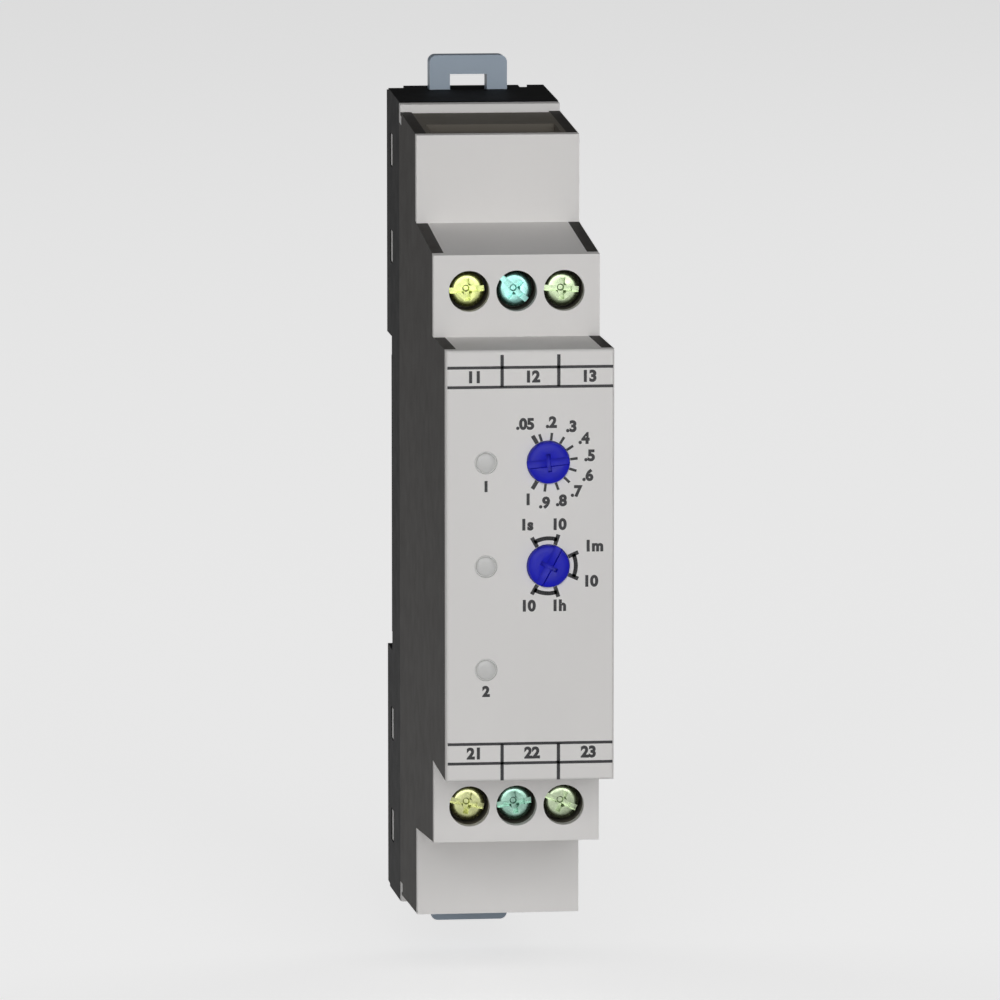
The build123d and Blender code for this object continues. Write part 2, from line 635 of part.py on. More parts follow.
def make_fixed_contacts():
    """Break and make contacts on brackets from the relay base."""
    z = ARMATURE_Z + ARMATURE_THICK
    brackets = []
    for low, rivet in ((z + 1.0, -0.2), (z - 2.1, 0.6)):
        plate = block(-1.2, 1.2, RELAY_FLOOR, CONTACT_Y + 1.0, low, low + 0.6)
        brackets.append(plate + rod_z(0, CONTACT_Y, CONTACT_RADIUS, low + rivet, low + rivet + 0.2))
    return Compound(children=brackets)


def build_nodes():
    """Every node of the timer by name."""
    nodes = {
        "rear_base": make_rear_base(),
        "left_side_shell": make_side_shell(-1),
        "right_side_shell": make_side_shell(1),
        "front_cover": make_front_cover(),
        "rear_rim_top": rim_prism(),
        "rear_rim_bottom": flipped(rim_prism()),
        "locking_tabs_left": make_locking_tabs(-1),
        "locking_tabs_right": make_locking_tabs(1),
        "terminal_block_top": make_terminal_block(),
        "terminal_block_bottom": flipped(make_terminal_block()),
        "rail_clip_top": make_rail_clip(),
        "rail_clip_bottom": flipped(make_rail_clip()),
        "clip_spring_top": make_clip_spring(),
        "clip_spring_bottom": flipped(make_clip_spring()),
        "contact_bars_top": make_contact_bars(),
        "contact_bars_bottom": flipped(make_contact_bars()),
        "multiplier_knob": make_knob(KNOB_ZS[0], 84.0),
        "range_knob": make_knob(KNOB_ZS[1], 210.0),
        "multiplier_rotor": make_rotor(KNOB_ZS[0]),
        "range_rotor": make_rotor(KNOB_ZS[1]),
        "multiplier_trimmer": make_trimmer(KNOB_ZS[0]),
        "range_trimmer": make_trimmer(KNOB_ZS[1]),
        "front_board": block(
            -INNER_HALF, INNER_HALF, FRONT_BOARD_Y, FRONT_BOARD_Y + FRONT_BOARD_THICK,
            -NOSE_HALF + COVER_WALL, NOSE_HALF - COVER_WALL),
        "main_board": block(
            -INNER_HALF, INNER_HALF, MAIN_BOARD_FRONT, MAIN_BOARD_BACK,
            -MAIN_BOARD_HALF, MAIN_BOARD_HALF),
        "indicator_leds": make_leds(),
        "board_pins": make_board_pins(),
        "timing_chip": make_timing_chip(),
        "smoothing_capacitor": make_can(-2.9, 11.4, 4.0, 13.0),
        "coupling_capacitor": make_can(4.4, 12.6, 2.5, 8.0),
        "film_capacitor": make_film_capacitor(),
        "varistor": make_varistor(),
        "regulator": make_regulator(),
        "resistors": make_resistors(),
        "relay_base": make_relay_base(),
        "relay_cover": make_relay_cover(),
        "relay_bobbin": make_relay_bobbin(),
        "relay_winding": make_relay_winding(),
        "relay_core": make_relay_core(),
        "relay_yoke": make_relay_yoke(),
        "relay_armature": make_relay_armature(),
        "relay_contact_spring": make_contact_spring(),
        "relay_fixed_contacts": make_fixed_contacts(),
    }
    for name, z in zip(("upper", "middle", "lower"), LENS_ZS):
        nodes["lens_" + name] = make_lens(z)
    for i, x in enumerate(SCREW_XS):
        nodes[f"terminal_screw_{i + 1}"] = make_terminal_screw(x)
        nodes[f"terminal_screw_{i + 4}"] = flipped(make_terminal_screw(x))
        nodes[f"clamp_cage_{i + 1}"] = make_clamp_cage(x)
        nodes[f"clamp_cage_{i + 4}"] = flipped(make_clamp_cage(x))
    return nodes


def main():
    os.makedirs("parts", exist_ok=True)
    for name, shape in build_nodes().items():
        export_step(shape, f"parts/{name}.step")


if __name__ == "__main__":
    main()
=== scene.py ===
import math

import bpy
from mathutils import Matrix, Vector


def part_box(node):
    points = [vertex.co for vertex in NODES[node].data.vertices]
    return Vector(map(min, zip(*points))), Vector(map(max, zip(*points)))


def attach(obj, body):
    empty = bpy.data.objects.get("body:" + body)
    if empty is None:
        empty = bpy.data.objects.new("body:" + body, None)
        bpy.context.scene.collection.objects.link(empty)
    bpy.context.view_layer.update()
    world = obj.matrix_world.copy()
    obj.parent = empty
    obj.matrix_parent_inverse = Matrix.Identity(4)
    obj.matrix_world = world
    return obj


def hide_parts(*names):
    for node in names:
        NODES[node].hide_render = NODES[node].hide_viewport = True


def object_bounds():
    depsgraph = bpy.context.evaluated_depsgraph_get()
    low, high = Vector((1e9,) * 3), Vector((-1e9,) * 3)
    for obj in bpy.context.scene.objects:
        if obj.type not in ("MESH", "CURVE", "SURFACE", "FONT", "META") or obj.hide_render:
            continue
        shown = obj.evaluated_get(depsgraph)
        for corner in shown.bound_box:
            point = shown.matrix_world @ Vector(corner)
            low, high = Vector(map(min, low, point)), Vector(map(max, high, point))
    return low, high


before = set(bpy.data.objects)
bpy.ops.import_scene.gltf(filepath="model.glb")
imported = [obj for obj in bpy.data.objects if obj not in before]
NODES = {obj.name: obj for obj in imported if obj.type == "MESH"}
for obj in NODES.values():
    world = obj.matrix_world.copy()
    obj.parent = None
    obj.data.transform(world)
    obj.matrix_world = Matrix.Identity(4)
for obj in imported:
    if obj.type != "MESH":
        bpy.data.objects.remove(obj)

bl_info = {
    "name": "Rail Timer Finish",
    "version": (1, 0, 0),
    "blender": (4, 5, 0),
    "location": "3D View > Sidebar > Rail Timer",
    "description": "Finishes, dial printing, controls and studio for a one-module rail timer",
    "category": "Object",
}

CAD_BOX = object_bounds()
MM = 0.001
HOUSING = "housing"
NOSE_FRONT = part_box("front_cover")[0].y


def mid(node):
    """Middle of a CAD node's box."""
    low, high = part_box(node)
    return (low + high) / 2


def srgb(red, green, blue):
    """Linear colour of an 8-bit screen colour."""
    out = []
    for value in (red, green, blue):
        part = value / 255
        out.append(part / 12.92 if part <= 0.04045 else ((part + 0.055) / 1.055) ** 2.4)
    return tuple(out)


# ---------------------------------------------------------------- settings

class TimerPrintSettings(bpy.types.PropertyGroup):
    """Sizes of the printing on the nose."""
    line: bpy.props.FloatProperty(
        name="Line", description="Thickness of the printed frame lines", default=0.30 * MM,
        unit="LENGTH", precision=5)
    tick: bpy.props.FloatProperty(
        name="Tick", description="Thickness of a dial tick", default=0.27 * MM, unit="LENGTH", precision=5)
    end_tick: bpy.props.FloatProperty(
        name="End tick", description="Thickness of the first and last tick", default=0.42 * MM,
        unit="LENGTH", precision=5)
    label: bpy.props.FloatProperty(
        name="Label height", description="Height of the dial numbers", default=1.12 * MM,
        unit="LENGTH", precision=5)
    ink: bpy.props.FloatProperty(
        name="Ink", description="Thickness of the printed ink", default=0.02 * MM, unit="LENGTH", precision=5)
    ink_colour: bpy.props.FloatVectorProperty(
        name="Ink colour", description="Colour of the print", default=srgb(22, 22, 26), subtype="COLOR")


class TimerColourSettings(bpy.types.PropertyGroup):
    """Colours of the moulded pieces."""
    cover: bpy.props.FloatVectorProperty(
        name="Cover", description="Light front cover", default=srgb(246, 244, 242), subtype="COLOR")
    # The dark shell colour is painted shade: it stands in for the shade that falls on the housing's sides.
    shell: bpy.props.FloatVectorProperty(
        name="Side shells", description="Dark side shells", default=srgb(60, 57, 54), subtype="COLOR")
    base: bpy.props.FloatVectorProperty(
        name="Rear base", description="Black rear base", default=srgb(14, 14, 15), subtype="COLOR")
    terminal: bpy.props.FloatVectorProperty(
        name="Terminal blocks", description="Grey terminal blocks", default=srgb(112, 107, 98),
        subtype="COLOR")
    clip: bpy.props.FloatVectorProperty(
        name="Rail clips", description="Blue-grey rail clips", default=srgb(164, 180, 196), subtype="COLOR")
    knob: bpy.props.FloatVectorProperty(
        name="Knobs", description="Blue setting knobs", default=srgb(6, 14, 196), subtype="COLOR")
    lens: bpy.props.FloatVectorProperty(
        name="Lenses", description="Clear light guides", default=srgb(238, 238, 236), subtype="COLOR")


class TimerStageSettings(bpy.types.PropertyGroup):
    """Floor, light and camera."""
    floor_drop: bpy.props.FloatProperty(
        name="Floor drop", description="Floor below the lower clip, clear of its travel",
        default=3.4 * MM, unit="LENGTH", precision=5)
    key_power: bpy.props.FloatProperty(
        name="Key power", description="Power of the front lamp in watts", default=11.5, subtype="POWER")
    fill_power: bpy.props.FloatProperty(
        name="Fill power", description="Power of each rear lamp in watts", default=1.8, subtype="POWER")
    sky: bpy.props.FloatProperty(
        name="Sky", description="Strength of the even light from all sides", default=0.09)
    lens: bpy.props.FloatProperty(
        name="Focal length", description="Camera focal length in millimetres", default=267.3)


def print_settings():
    return bpy.context.scene.timer_print


def colours():
    return bpy.context.scene.timer_colours


def stage_settings():
    return bpy.context.scene.timer_stage


# ---------------------------------------------------------------- modelling helpers

def clear_selection():
    """Nothing selected and nothing active."""
    if bpy.context.object and bpy.context.object.mode != "OBJECT":
        bpy.ops.object.mode_set(mode="OBJECT")
    bpy.ops.object.select_all(action="DESELECT")


def settle(piece, name):
    """Name a new piece and put its place in its mesh."""
    piece.name = name
    piece.data.name = name
    bpy.ops.object.transform_apply(location=True, rotation=True, scale=True)
    return piece


def bar(name, centre, size, turn=0.0):
    """Block at centre, turned clockwise seen from the front."""
    clear_selection()
    bpy.ops.mesh.primitive_cube_add(size=1, location=centre, rotation=(0, turn, 0))
    piece = bpy.context.object
    piece.scale = size
    return settle(piece, name)


def turned(name, x, z, steps, sides=64):
    """Round piece about a Y axis at x and z, extruded ring by ring through (radius, y) steps in metres."""
    clear_selection()
    radius, y = steps[0]
    bpy.ops.mesh.primitive_circle_add(
        vertices=sides, radius=radius, fill_type="NGON", location=(x, y, z), rotation=(math.pi / 2, 0, 0))
    piece = settle(bpy.context.object, name)
    bpy.ops.object.mode_set(mode="EDIT")
    bpy.ops.mesh.select_all(action="SELECT")
    for new_radius, new_y in steps[1:]:
        bpy.ops.mesh.extrude_region_move(TRANSFORM_OT_translate={"value": (0, new_y - y, 0)})
        factor = new_radius / radius
        bpy.ops.transform.resize(value=(factor, 1, factor), center_override=(x, new_y, z))
        radius, y = new_radius, new_y
    bpy.ops.mesh.select_all(action="SELECT")
    bpy.ops.mesh.normals_make_consistent(inside=False)
    bpy.ops.object.mode_set(mode="OBJECT")
    return piece


def apply_modifier(piece, kind, **values):
    """Add one modifier with its values and apply it."""
    clear_selection()
    piece.select_set(True)
    bpy.context.view_layer.objects.active = piece
    modifier = piece.modifiers.new(kind.title(), kind)
    for key, value in values.items():
        setattr(modifier, key, value)
    bpy.ops.object.modifier_apply(modifier=modifier.name)


def cut(piece, cutter):
    """Cut one piece out of another and drop the cutter."""
    apply_modifier(piece, "BOOLEAN", operation="DIFFERENCE", solver="EXACT", object=cutter)
    bpy.data.objects.remove(cutter)


def soften(piece, width, segments=2, angle=30.0):
    """Round the sharp edges and shade the piece by angle."""
    apply_modifier(
        piece, "BEVEL", width=width, segments=segments, limit_method="ANGLE",
        angle_limit=math.radians(angle), use_clamp_overlap=True)
    shade(piece)


def shade(piece, angle=35.0):
    clear_selection()
    piece.select_set(True)
    bpy.context.view_layer.objects.active = piece
    bpy.ops.object.shade_smooth_by_angle(angle=math.radians(angle))


def join(pieces, name):
    """Join pieces into the first one."""
    clear_selection()
    for piece in pieces:
        piece.select_set(True)
    bpy.context.view_layer.objects.active = pieces[0]
    if len(pieces) > 1:
        bpy.ops.object.join()
    pieces[0].name = name
    pieces[0].data.name = name
    return pieces[0]


def copied(piece, name, offset=(0, 0, 0)):
    """Copy with its own mesh, moved by offset."""
    clear_selection()
    piece.select_set(True)
    bpy.context.view_layer.objects.active = piece
    bpy.ops.object.duplicate(linked=False)
    twin = bpy.context.object
    twin.location = offset
    return settle(twin, name)


def turn_about(piece, x, z, degrees):
    """Turn a piece clockwise, seen from the front, about the Y axis through x and z."""
    clear_selection()
    piece.select_set(True)
    bpy.context.view_layer.objects.active = piece
    piece.rotation_euler = (0, 0, 0)
    piece.location = (-x, 0, -z)
    bpy.ops.object.transform_apply(location=True, rotation=False, scale=False)
    piece.rotation_euler = (0, math.radians(degrees), 0)
    bpy.ops.object.transform_apply(location=False, rotation=True, scale=False)
    piece.location = (x, 0, z)
    bpy.ops.object.transform_apply(location=True, rotation=False, scale=False)


# ---------------------------------------------------------------- materials

def new_material(name, colour, roughness, metallic=0.0):
    """Material with its shader, output and object coordinates."""
    material = bpy.data.materials.new(name)
    material.use_nodes = True
    nodes = material.node_tree.nodes
    shader = nodes["Principled BSDF"]
    shader.inputs["Base Color"].default_value = (*colour, 1)
    shader.inputs["Roughness"].default_value = roughness
    shader.inputs["Metallic"].default_value = metallic
    place = nodes.new("ShaderNodeTexCoord")
    return material, shader, place


def noise(material, place, scale, detail=3.0, stretch=(1, 1, 1)):
    """Noise on object coordinates, scale in features a metre."""
    nodes, links = material.node_tree.nodes, material.node_tree.links
    mapping = nodes.new("ShaderNodeMapping")
    mapping.inputs["Scale"].default_value = stretch
    texture = nodes.new("ShaderNodeTexNoise")
    texture.inputs["Scale"].default_value = scale
    texture.inputs["Detail"].default_value = detail
    links.new(place.outputs["Object"], mapping.inputs["Vector"])
    links.new(mapping.outputs["Vector"], texture.inputs["Vector"])
    return texture


def vary_colour(material, shader, texture, dark, light, low=0.3, high=0.7):
    """Base colour between dark and light by a texture."""
    nodes, links = material.node_tree.nodes, material.node_tree.links
    ramp = nodes.new("ShaderNodeValToRGB")
    ramp.color_ramp.elements[0].position = low
    ramp.color_ramp.elements[0].color = (*dark, 1)
    ramp.color_ramp.elements[1].position = high
    ramp.color_ramp.elements[1].color = (*light, 1)
    links.new(texture.outputs["Fac"], ramp.inputs["Fac"])
    links.new(ramp.outputs["Color"], shader.inputs["Base Color"])


def vary_roughness(material, shader, texture, low, high):
    """Roughness between two values by a texture."""
    nodes, links = material.node_tree.nodes, material.node_tree.links
    spread = nodes.new("ShaderNodeMapRange")
    spread.inputs["To Min"].default_value = low
    spread.inputs["To Max"].default_value = high
    links.new(texture.outputs["Fac"], spread.inputs["Value"])
    links.new(spread.outputs["Result"], shader.inputs["Roughness"])


def add_bump(material, shader, texture, strength, depth):
    """Surface relief from a texture, depth in metres."""
    nodes, links = material.node_tree.nodes, material.node_tree.links
    bump = nodes.new("ShaderNodeBump")
    bump.inputs["Strength"].default_value = strength
    bump.inputs["Distance"].default_value = depth
    links.new(texture.outputs["Fac"], bump.inputs["Height"])
    links.new(bump.outputs["Normal"], shader.inputs["Normal"])


def scaled(colour, factor):
    return tuple(min(1.0, part * factor) for part in colour)


def moulded(name, colour, roughness=0.5, grain=3500.0, relief=0.35, mottle=0.04, gloss=0.5):
    """Moulded plastic: spark-eroded grain, faint flow mottling and uneven sheen."""
    material, shader, place = new_material(name, colour, roughness)
    shader.inputs["Specular IOR Level"].default_value = gloss
    flow = noise(material, place, 90.0, 4.0, (1.0, 0.6, 0.4))
    vary_colour(material, shader, flow, scaled(colour, 1 - mottle), scaled(colour, 1 + mottle))
    sheen = noise(material, place, 420.0, 3.0)
    vary_roughness(material, shader, sheen, roughness - 0.06, roughness + 0.08)
    add_bump(material, shader, noise(material, place, grain, 2.0), relief, 0.02 * MM)
    return material


def plated(name, colour, roughness=0.3):
    """Plated metal: cloudy tint, fine rolled scratches and uneven polish."""
    material, shader, place = new_material(name, colour, roughness, metallic=1.0)
    cloud = noise(material, place, 900.0, 4.0)
    vary_colour(material, shader, cloud, scaled(colour, 0.72), scaled(colour, 1.18))
    vary_roughness(material, shader, noise(material, place, 2500.0, 3.0), roughness - 0.1, roughness + 0.12)
    add_bump(material, shader, noise(material, place, 6000.0, 2.0, (1.0, 1.0, 0.25)), 0.25, 0.01 * MM)
    return material


def glossy(name, colour, roughness=0.22, coat=0.3):
    """Smooth moulded plastic with a thin bright skin."""
    material, shader, place = new_material(name, colour, roughness)
    shader.inputs["Specular IOR Level"].default_value = 0.3
    shader.inputs["Coat Weight"].default_value = coat
    shader.inputs["Coat Roughness"].default_value = 0.12
    flow = noise(material, place, 700.0, 3.0)
    vary_colour(material, shader, flow, scaled(colour, 0.9), scaled(colour, 1.1))
    vary_roughness(material, shader, noise(material, place, 1800.0, 2.0), roughness - 0.05, roughness + 0.08)
    add_bump(material, shader, noise(material, place, 3000.0, 2.0), 0.12, 0.01 * MM)
    return material


def light_guide(name, colour):
    """Frosted clear plastic."""
    material, shader, place = new_material(name, colour, 0.28)
    shader.inputs["Transmission Weight"].default_value = 0.15
    shader.inputs["IOR"].default_value = 1.49
    cloud = noise(material, place, 1500.0, 3.0)
    vary_colour(material, shader, cloud, scaled(colour, 0.95), scaled(colour, 1.0))
    add_bump(material, shader, noise(material, place, 4000.0, 2.0), 0.15, 0.01 * MM)
    return material


def circuit_board(name, colour):
    """Solder mask with faint copper lanes under it."""
    material, shader, place = new_material(name, colour, 0.35)
    nodes, links = material.node_tree.nodes, material.node_tree.links
    lanes = nodes.new("ShaderNodeTexBrick")
    lanes.inputs["Scale"].default_value = 260.0
    lanes.inputs["Mortar Size"].default_value = 0.03
    lanes.inputs["Color1"].default_value = (*colour, 1)
    lanes.inputs["Color2"].default_value = (*scaled(colour, 0.8), 1)
    lanes.inputs["Mortar"].default_value = (*scaled(colour, 1.7), 1)
    turn = nodes.new("ShaderNodeMapping")
    turn.inputs["Rotation"].default_value = (math.pi / 2, 0, 0)
    links.new(place.outputs["Object"], turn.inputs["Vector"])
    links.new(turn.outputs["Vector"], lanes.inputs["Vector"])
    links.new(lanes.outputs["Color"], shader.inputs["Base Color"])
    add_bump(material, shader, noise(material, place, 1200.0, 2.0), 0.15, 0.01 * MM)
    return material


def ink(name, colour):
    """Slightly raised pad print."""
    material, shader, place = new_material(name, colour, 0.45)
    cloud = noise(material, place, 5000.0, 3.0)
    vary_colour(material, shader, cloud, scaled(colour, 0.8), scaled(colour, 1.5))
    add_bump(material, shader, noise(material, place, 9000.0, 2.0), 0.2, 0.005 * MM)
    return material


def wound(name, colour):
    """Enamelled wire laid side by side across the winding, with painted shade between the turns and painted
    highlights on their crests.
    """
    material, shader, place = new_material(name, colour, 0.3, metallic=0.9)
    nodes, links = material.node_tree.nodes, material.node_tree.links
    wires = nodes.new("ShaderNodeTexWave")
    wires.bands_direction = "Z"
    wires.inputs["Scale"].default_value = 900.0
    wires.inputs["Distortion"].default_value = 0.4
    links.new(place.outputs["Object"], wires.inputs["Vector"])
    # The colour bands follow the relief: painted shade in the grooves between turns, painted highlight on the
    # crests.
    vary_colour(material, shader, wires, scaled(colour, 0.6), scaled(colour, 1.1), 0.1, 0.9)
    add_bump(material, shader, wires, 0.6, 0.05 * MM)
    return material


def finish_node(node, material):
    """Give a CAD node its finish."""
    piece = NODES[node]
    piece.data.materials.clear()
    piece.data.materials.append(material)


def finish_piece(piece, material, body, slot, *stands_for):
    """Give a new piece its finish and body, and hide the CAD nodes it stands for. The slot is not used."""
    piece.data.materials.clear()
    piece.data.materials.append(material)
    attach(piece, body)
    if stands_for:
        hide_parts(*stands_for)


# ---------------------------------------------------------------- pieces

class TIMER_OT_housing(bpy.types.Operator):
    """Finish the cover, side shells, rear base, rims, locking tabs and terminal blocks"""
    bl_idname = "timer.housing"
    bl_label = "Finish Housing"

    def execute(self, context):
        tint = colours()
        cover = moulded("Cover Plastic", tuple(tint.cover), 0.55, 3200.0, 0.3, 0.012, 0.3)
        light = ("front_cover", "rear_rim_top", "rear_rim_bottom", "locking_tabs_left", "locking_tabs_right")
        for node in light:
            finish_node(node, cover)
        # The shell material's dark colour carries the painted shade of the housing's sides.
        shell = moulded("Shell Plastic Painted Shade", tuple(tint.shell), 0.62, 2600.0, 0.5, 0.07, 0.15)
        for node in ("left_side_shell", "right_side_shell"):
            finish_node(node, shell)
        finish_node("rear_base", moulded("Base Plastic", tuple(tint.base), 0.62, 2600.0, 0.5, 0.1, 0.1))
        block = moulded("Terminal Plastic", tuple(tint.terminal), 0.6, 2800.0, 0.4, 0.05, 0.2)
        for node in ("terminal_block_top", "terminal_block_bottom"):
            finish_node(node, block)
        return {"FINISHED"}


class TIMER_OT_clips(bpy.types.Operator):
    """Finish the rail clips and their springs"""
    bl_idname = "timer.clips"
    bl_label = "Finish Rail Clips"

    def execute(self, context):
        clip = moulded("Clip Plastic", tuple(colours().clip), 0.42, 2400.0, 0.3, 0.03)
        wire = plated("Spring Wire", srgb(190, 190, 195), 0.28)
        for side in ("top", "bottom"):
            finish_node("rail_clip_" + side, clip)
            finish_node("clip_spring_" + side, wire)
        return {"FINISHED"}


class TIMER_OT_screws(bpy.types.Operator):
    """Model the terminal screws and finish the cages and bars"""
    bl_idname = "timer.screws"
    bl_label = "Make Terminal Screws"

    tints = (
        (188, 196, 128), (140, 190, 182), (168, 184, 150),
        (188, 192, 140), (150, 188, 172), (172, 186, 156),
    )
    turns = (-4.0, 42.0, 3.0, 12.0, -8.0, 24.0)

    def execute(self, context):
        first = self.model()
        for i in range(6):
            node = f"terminal_screw_{i + 1}"
            place = mid(node)
            offset = (place.x - self.home.x, 0, place.z - self.home.z)
            screw = copied(first, "screw_" + str(i + 1), offset)
            turn_about(screw, place.x, place.z, self.turns[i])
            shade(screw)
            metal = plated(f"Screw Plating {i + 1}", srgb(*self.tints[i]), 0.24)
            finish_piece(screw, metal, f"screw_{i + 1}", "zinc_steel", node)
            finish_node(f"clamp_cage_{i + 1}", plated(f"Cage Plating {i + 1}", srgb(190, 190, 180), 0.34))
        bpy.data.objects.remove(first)
        copper = plated("Bar Copper", srgb(205, 130, 95), 0.3)
        for side in ("top", "bottom"):
            finish_node("contact_bars_" + side, copper)
        return {"FINISHED"}

    def model(self):
        """One screw with a rolled thread and a combined slot and cross recess."""
        low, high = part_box("terminal_screw_1")
        self.home = (low + high) / 2
        front = low.y
        head = (high.x - low.x) / 2
        neck = front + 2.2 * MM
        core, crest, pitch = 1.0 * MM, 1.25 * MM, 0.45 * MM
        steps = [
            (head * 0.72, front - 0.04 * MM), (head * 0.9, front + 0.02 * MM),
            (head * 0.98, front + 0.16 * MM), (head, front + 0.36 * MM),
            (head, neck - 0.15 * MM), (head - 0.15 * MM, neck), (core, neck),
        ]
        y = neck + 0.8 * MM
        steps.append((core, y))
        while y + pitch < high.y - 0.5 * MM:
            steps.append((crest, y + pitch * 0.5))
            steps.append((core, y + pitch))
            y += pitch
        steps.append((core * 0.8, high.y))
        screw = turned("screw", self.home.x, self.home.z, steps, 48)
        x, z = self.home.x, self.home.z
        cut(screw, bar("slot", (x, front, z), (6 * MM, 1.3 * MM, 0.62 * MM)))
        for size in ((2.3 * MM, 2.6 * MM, 0.56 * MM), (0.56 * MM, 2.6 * MM, 2.3 * MM)):
            cut(screw, bar("cross", (x, front, z), size))
        well = [
            (0.62 * MM, front - 1 * MM), (0.62 * MM, front + 0.9 * MM), (0.25 * MM, front + 1.5 * MM),
        ]
        cut(screw, turned("well", x, z, well, 24))
        apply_modifier(
            screw, "BEVEL", width=0.05 * MM, segments=2, limit_method="ANGLE", angle_limit=math.radians(50))
        return screw


class TIMER_OT_knobs(bpy.types.Operator):
    """Model the two setting knobs with their pointer slots"""
    bl_idname = "timer.knobs"
    bl_label = "Make Knobs"

    def execute(self, context):
        blue = glossy("Knob Plastic", tuple(colours().knob), 0.42, 0.0)
        dark = moulded("Trimmer Plastic", srgb(50, 54, 66), 0.45)
        for name, angle in (("multiplier", 84.0), ("range", 208.0)):
            node = name + "_knob"
            low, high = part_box(node)
            x, z = (low.x + high.x) / 2, (low.z + high.z) / 2
            front = low.y
            radius = 2.2 * MM
            steps = [
                (1.5 * MM, front), (1.86 * MM, front + 0.03 * MM), (2.08 * MM, front + 0.12 * MM),
                (2.18 * MM, front + 0.3 * MM), (radius, front + 0.5 * MM), (radius, front + 2.3 * MM),
                (2.7 * MM, front + 2.3 * MM), (2.7 * MM, front + 3.1 * MM), (1.0 * MM, front + 3.1 * MM),
                (1.0 * MM, high.y),
            ]
            knob = turned("knob_" + name, x, z, steps, 96)
            slot = bar("slot", (x, front, z), (0.84 * MM, 1.5 * MM, 6 * MM))
            cut(knob, slot)
            cut(knob, bar("notch", (x, front, z), (1.9 * MM, 1.9 * MM, 0.42 * MM)))
            turn_about(knob, x, z, angle)
            soften(knob, 0.06 * MM, 2, 40.0)
            finish_piece(knob, blue, node + "_body", "knob_blue", node)
            finish_node(name + "_rotor", dark)
            finish_node(name + "_trimmer", dark)
        return {"FINISHED"}


class TIMER_OT_lenses(bpy.types.Operator):
    """Model the three indicator light guides with their rims"""
    bl_idname = "timer.lenses"
    bl_label = "Make Lenses"

    def execute(self, context):
        clear = light_guide("Lens Plastic", tuple(colours().lens))
        for level in ("upper", "middle", "lower"):
            node = "lens_" + level
            low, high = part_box(node)
            x, z = (low.x + high.x) / 2, (low.z + high.z) / 2
            front = low.y
            steps = [
                (0.5 * MM, front - 0.05 * MM), (0.8 * MM, front - 0.02 * MM), (0.96 * MM, front + 0.04 * MM),
                (1.04 * MM, front + 0.22 * MM), (1.11 * MM, front + 0.22 * MM), (1.17 * MM, front + 0.02 * MM),
                (1.2 * MM, front + 0.02 * MM), (1.2 * MM, front + 1.3 * MM), (1.6 * MM, front + 1.3 * MM),
                (1.6 * MM, front + 2.0 * MM), (1.2 * MM, front + 2.0 * MM), (1.2 * MM, high.y - 0.2 * MM),
                (0.9 * MM, high.y),
            ]
            lens = turned("guide_" + level, x, z, steps, 64)
            shade(lens)
            finish_piece(lens, clear, HOUSING, "lens_clear", node)
        finish_node("indicator_leds", glossy("Diode Package", srgb(236, 236, 214), 0.3, 0.4))
        return {"FINISHED"}


